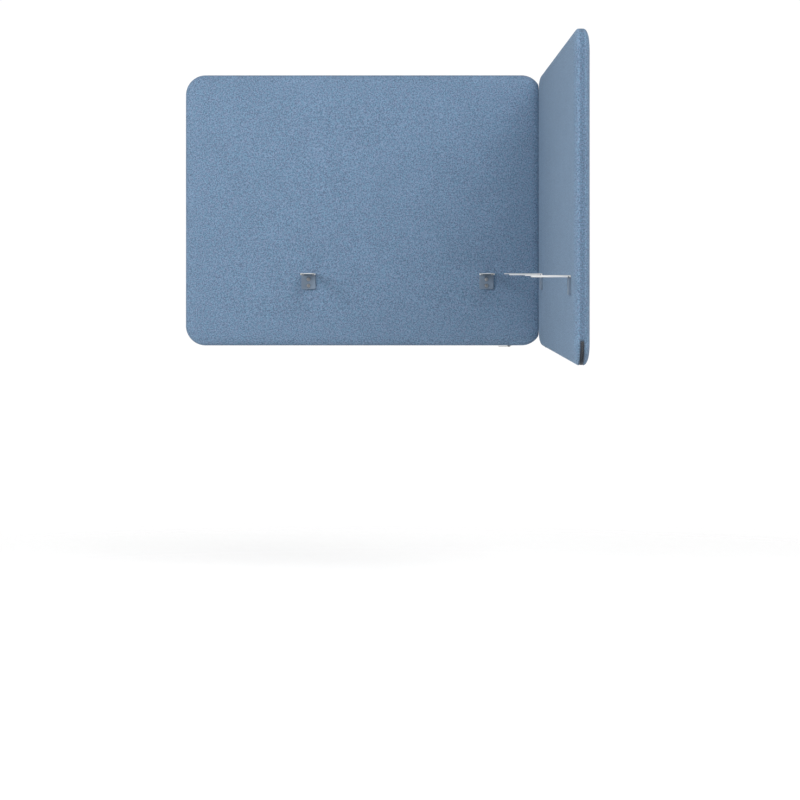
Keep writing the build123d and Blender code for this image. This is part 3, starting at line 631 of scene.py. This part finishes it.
def capsules(name, screen, items, sides=6):
    """Many small rounded bars in one mesh. Each item: (middle, half vector, across a, across b) in the
    screen's axes; a and b are the two radii as vectors."""
    ring = [(math.cos(2 * math.pi * k / sides), math.sin(2 * math.pi * k / sides)) for k in range(sides)]
    levels = [(-1.0, 0.0), (-0.93, 0.62), (-0.72, 0.95), (0.72, 0.95), (0.93, 0.62), (1.0, 0.0)]
    verts, faces = [], []
    for mid, h, a, b in items:
        mid, h, a, b = map(np.array, (mid, h, a, b))
        if np.dot(np.cross(a, b), h) < 0:
            a, b = b, a
        base = len(verts)
        for t, s in levels:
            if s == 0:
                verts.append(mid + h * t)
            else:
                for c, d in ring:
                    verts.append(mid + h * t + s * (a * c + b * d))
        first = base + 1
        for k in range(sides):
            faces.append((base, first + (k + 1) % sides, first + k))
        for lv in range(3):
            r0, r1 = first + lv * sides, first + (lv + 1) * sides
            for k in range(sides):
                faces.append((r0 + k, r0 + (k + 1) % sides, r1 + (k + 1) % sides, r1 + k))
        last, r0 = first + 4 * sides, first + 3 * sides
        for k in range(sides):
            faces.append((r0 + k, r0 + (k + 1) % sides, last))
    return new_object(name, screen.world(verts), faces)


def zip_teeth(screen):
    """The coil seen from outside: rounded loops from the two rows, meshing in the middle."""
    items = []
    pitch = 1.45 * MM
    for i, (u, v, tu, tv, ou, ov) in enumerate(rim_path(screen, 0.95 * MM, pitch / 2, 5.0 * MM)):
        s = 1 if i % 2 else -1
        mid = np.array((u, v, s * 1.22 * MM))
        h = np.array((tu * 0.16 * s, tv * 0.16 * s, s * 1.0)) * 1.38 * MM
        a = np.array((tu, tv, 0.0)) * 0.43 * MM
        b = np.array((ou, ov, 0.0)) * 0.60 * MM
        items.append((mid, h, a, b))
    return capsules(f"{screen.name}_zip_teeth", screen, items)


def topstitch(screen):
    """Two rows of stitches beside the zip, and a bar tack across each end."""
    items = []
    for w in (-6.3 * MM, 6.3 * MM):
        d, no, nw = shoulder(w, screen.thick / 2)
        for u, v, tu, tv, ou, ov in rim_path(screen, d, 3.4 * MM, 1.0 * MM):
            jit = random.uniform(-0.12, 0.12) * MM
            h = np.array((tu, tv, 0.05)) * 1.28 * MM
            a = np.array((-ou * nw, -ov * nw, no)) * 0.30 * MM
            b = np.array((ou * no, ov * no, nw)) * 0.30 * MM
            lift = 0.02 * MM
            items.append(((u + ou * no * lift, v + ov * no * lift, w + nw * lift + jit), h, a, b))
    L = screen.length
    tacks = [(L / 2, 0, 1)] + ([(-L / 2, 0, 1)] if screen.zip_from is None else [(screen.zip_from, 1, 0)])
    for u0, flat, _ in tacks:
        for k in range(9):
            step = (1.1 + 0.42 * k) * MM
            tilt = 0.06 if k % 2 else -0.06
            if flat:
                mid, h = (u0 - step, -0.05 * MM, 0.0), np.array((tilt, 0, 1.0)) * 4.6 * MM
                a, b = np.array((0.24 * MM, 0, 0)), np.array((0, -0.26 * MM, 0))
            else:
                s = 1 if u0 > 0 else -1
                mid, h = (u0 + s * 0.05 * MM, ZIP_TOP + step, 0.0), np.array((0, tilt, 1.0)) * 4.6 * MM
                a, b = np.array((0, 0.24 * MM, 0)), np.array((s * 0.26 * MM, 0, 0))
            items.append((mid, h, a, b))
    return capsules(f"{screen.name}_topstitch", screen, items)


def seam_stitches(screen):
    """Short threads across the butted seam along the rim."""
    items = []
    flat_u = -screen.length / 2 + screen.trim + 3 * MM
    for u, v, tu, tv, ou, ov in rim_path(screen, 0.42 * MM, 3.2 * MM, 6 * MM, low=True):
        if screen.trim and u < flat_u:
            continue
        h = np.array((tu * 0.45, tv * 0.45, 1.0)) * 0.85 * MM
        items.append(((u, v, 0.0), h, np.array((tu, tv, 0)) * 0.2 * MM, np.array((ou, ov, 0)) * 0.2 * MM))
    return capsules(f"{screen.name}_seam_stitches", screen, items)


thread = thread_material("thread_blue", (0.10, 0.165, 0.25))
coil_mat = zip_coil_material("zip_coil_nylon")
for sc in SCREENS:
    cover = felt_cover(sc)
    cover.data.materials.append(felt_material(f"felt_{sc.name}", sc))
    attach(cover, "screens")
    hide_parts(f"{sc.name}_cover")
    teeth = zip_teeth(sc)
    teeth.data.materials.append(coil_mat)
    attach(teeth, "screens")
    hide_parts(f"{sc.name}_zip_coil")
    for made in (topstitch(sc), seam_stitches(sc)):
        made.data.materials.append(thread)
        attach(made, "screens")

# ------------------------------------------------------------------ CAD nodes: materials and softened edges
tape_mat = zip_tape_material("zip_tape_woven")
zip_metal = metal("zip_metal_dark", (0.16, 0.17, 0.185), 0.36, metallic=0.75)
# shoe coat: a real grey powder coat, tinted blue as painted reflected light from the felt beside it
shoe_coat_painted_bounce = powder_coat("powder_coat_grey_painted_bounce", (0.175, 0.232, 0.305), 0.50)
arm_mat = powder_coat("powder_coat_white", (0.80, 0.80, 0.79), 0.40)
steel = metal("zinc_steel", (0.56, 0.56, 0.57), 0.34, (1, 1, 1))
link = metal("link_steel", (0.60, 0.60, 0.61), 0.3, (1, 6, 1))
brass = metal("insert_brass", (0.72, 0.55, 0.28), 0.3)
foam = foam_material("foam_cells")
fibre = fibre_board("fibre_infill")
spacer = plastic("spacer_nylon", (0.05, 0.05, 0.055), 0.5)
wood = {"rear": wood_material("poplar_rear", (0, 1, 0)), "side": wood_material("poplar_side", (1, 0, 0))}


def cad_material(name):
    if "_foam" in name:
        return foam
    if name.endswith("_board_frame"):
        return wood[name.split("_")[0]]
    if name.endswith("_acoustic_infill"):
        return fibre
    if name.endswith("_threaded_inserts"):
        return brass
    if name.endswith("_spacers"):
        return spacer
    if "_zip_tape" in name:
        return tape_mat
    if name.endswith(("_zip_slider", "_zip_pull", "_zip_stops")):
        return zip_metal
    if name.endswith("_shoe"):
        return shoe_coat_painted_bounce
    if name.endswith("_arm"):
        return arm_mat
    if name.endswith(("_bracket_bolts", "_set_screws")):
        return steel
    if name.startswith("corner_"):
        return link
    return coil_mat


ROUNDED = {
    "_shoe": 0.7,
    "_arm": 0.35,
    "_zip_slider": 0.28,
    "_zip_pull": 0.3,
    "_zip_stops": 0.3,
    "_bracket_bolts": 0.2,
    "_set_screws": 0.15,
}
for name, ob in NODES.items():
    if not ob.material_slots:
        ob.data.materials.append(None)
    for ms in ob.material_slots:
        ms.material = cad_material(name)
    for end, width in ROUNDED.items():
        if name.endswith(end):
            weld = ob.modifiers.new("weld", "WELD")
            weld.merge_threshold = 1e-6
            bevel = ob.modifiers.new("bevel", "BEVEL")
            bevel.width = width * MM
            bevel.segments = 3
            bevel.limit_method = "ANGLE"
            bevel.angle_limit = math.radians(35)
            bevel.use_clamp_overlap = True
            bevel.harden_normals = False
            smooth = ob.modifiers.new("flat_faces", "WEIGHTED_NORMAL")
            smooth.keep_sharp = True

# ------------------------------------------------------------------ stage
FLOOR_Z = -0.687


def make_floor():
    """A pale floor that takes a soft shadow, fades out far away and lets a camera below it see up."""
    bpy.ops.mesh.primitive_circle_add(vertices=96, radius=14, fill_type="NGON", location=(0, 0, FLOOR_Z))
    floor = bpy.context.object
    floor.name = "floor"
    m = Mat("pale_floor")
    m.set(Base_Color=(0.88, 0.88, 0.88), Roughness=0.9, Specular_IOR_Level=0.1)
    path = m.nt.nodes.new("ShaderNodeLightPath")
    m.put(m.bsdf.inputs["Emission Strength"], m.math("MULTIPLY", path.outputs["Is Camera Ray"], 0.55))
    m.put(m.bsdf.inputs["Emission Color"], (1, 1, 1))
    geo = m.nt.nodes.new("ShaderNodeNewGeometry")
    away = m.vmath("LENGTH", m.vmath("SUBTRACT", geo.outputs["Position"], (0, 0, FLOOR_Z)))
    near = m.range(away, 0.9, 3.4, 0.0, 1.0, True)
    far = m.range(away, 2.2, 7.0, 0.0, 1.0, True)
    fade = m.mix(path.outputs["Is Camera Ray"], far, near)
    hide = m.math("MAXIMUM", fade, geo.outputs["Backfacing"])
    clear = m.nt.nodes.new("ShaderNodeBsdfTransparent")
    mix = m.nt.nodes.new("ShaderNodeMixShader")
    m.put(mix.inputs[0], hide)
    m.nt.links.new(m.bsdf.outputs[0], mix.inputs[1])
    m.nt.links.new(clear.outputs[0], mix.inputs[2])
    m.nt.links.new(mix.outputs[0], m.out.inputs["Surface"])
    floor.data.materials.append(m.mat)


make_floor()

world = bpy.data.worlds.new("studio")
bpy.context.scene.world = world
world.use_nodes = True
wn = world.node_tree
wn.nodes.clear()
wout = wn.nodes.new("ShaderNodeOutputWorld")
seen = wn.nodes.new("ShaderNodeBackground")
seen.inputs["Color"].default_value = (1, 1, 1, 1)
seen.inputs["Strength"].default_value = 1.02
lit = wn.nodes.new("ShaderNodeBackground")
lit.inputs["Color"].default_value = (1, 1, 1, 1)
lit.inputs["Strength"].default_value = 0.03
path = wn.nodes.new("ShaderNodeLightPath")
wmix = wn.nodes.new("ShaderNodeMixShader")
wn.links.new(path.outputs["Is Camera Ray"], wmix.inputs[0])
wn.links.new(lit.outputs[0], wmix.inputs[1])
wn.links.new(seen.outputs[0], wmix.inputs[2])
wn.links.new(wmix.outputs[0], wout.inputs["Surface"])


def softbox(name, location, target, size, power, spread=180):
    data = bpy.data.lights.new(name, "AREA")
    data.shape = "RECTANGLE"
    data.size, data.size_y = size
    data.energy = power
    data.spread = math.radians(spread)
    ob = bpy.data.objects.new(name, data)
    bpy.context.scene.collection.objects.link(ob)
    ob.location = location
    ob.rotation_euler = (Vector(target) - Vector(location)).to_track_quat("-Z", "Y").to_euler()
    ob.visible_camera = False
    return ob


rig = bpy.data.objects.new("light_rig", None)
bpy.context.scene.collection.objects.link(rig)
for name, location, power in (
    ("front_left", (-3.4, -2.6, 1.5), 157),
    ("front_right", (3.4, -2.6, 1.3), 38),
    ("high_front", (0.0, -3.2, 3.4), 42),
    ("high_right", (2.0, -3.2, 3.2), 114),
    ("back_left", (-3.0, 2.8, 1.3), 12),
    ("back", (0.0, 3.6, 1.8), 20),
):
    softbox(name, location, (0.1, 0.1, 0.35), (2.6, 2.6), power).parent = rig

PHOTO_SPOT = (0.0869, -6.9086, 0.2266)
cam_data = bpy.data.cameras.new("camera")
cam = bpy.data.objects.new("camera", cam_data)
bpy.context.scene.collection.objects.link(cam)
cam_data.sensor_width = 36.0
cam_data.lens = 2730.1 / 800 * 36
cam_data.clip_start, cam_data.clip_end = 0.1, 100
cam.location = PHOTO_SPOT
cam.rotation_euler = (math.radians(90), 0, 0)
bpy.context.scene.camera = cam
# the lights go round with the camera, so every side is seen in the same light
follow = rig.constraints.new("LOCKED_TRACK")
follow.target = cam
follow.track_axis, follow.lock_axis = "TRACK_NEGATIVE_Y", "LOCK_Z"
# The photo was taken level with the lens shifted down, so its uprights are parallel. The shift holds
# only where the camera stands here: elsewhere it would put the object off centre.
shift = cam_data.driver_add("shift_y")
shift.driver.type = "SUM"
spot = shift.driver.variables.new()
spot.type = "TRANSFORMS"
spot.targets[0].id = cam
spot.targets[0].transform_type = "LOC_Y"
spot.targets[0].transform_space = "WORLD_SPACE"
while shift.modifiers:
    shift.modifiers.remove(shift.modifiers[0])
while len(shift.keyframe_points):
    shift.keyframe_points.remove(shift.keyframe_points[0])
for at, value in ((-0.02, 0.0), (-0.01, -0.16895), (0.01, -0.16895), (0.02, 0.0)):
    key = shift.keyframe_points.insert(PHOTO_SPOT[1] + at, value)
    key.interpolation = "LINEAR"

scene = bpy.context.scene
scene.view_settings.view_transform = "Standard"
scene.view_settings.look = "None"
scene.view_settings.exposure = 0.0
scene.view_settings.gamma = 1.0
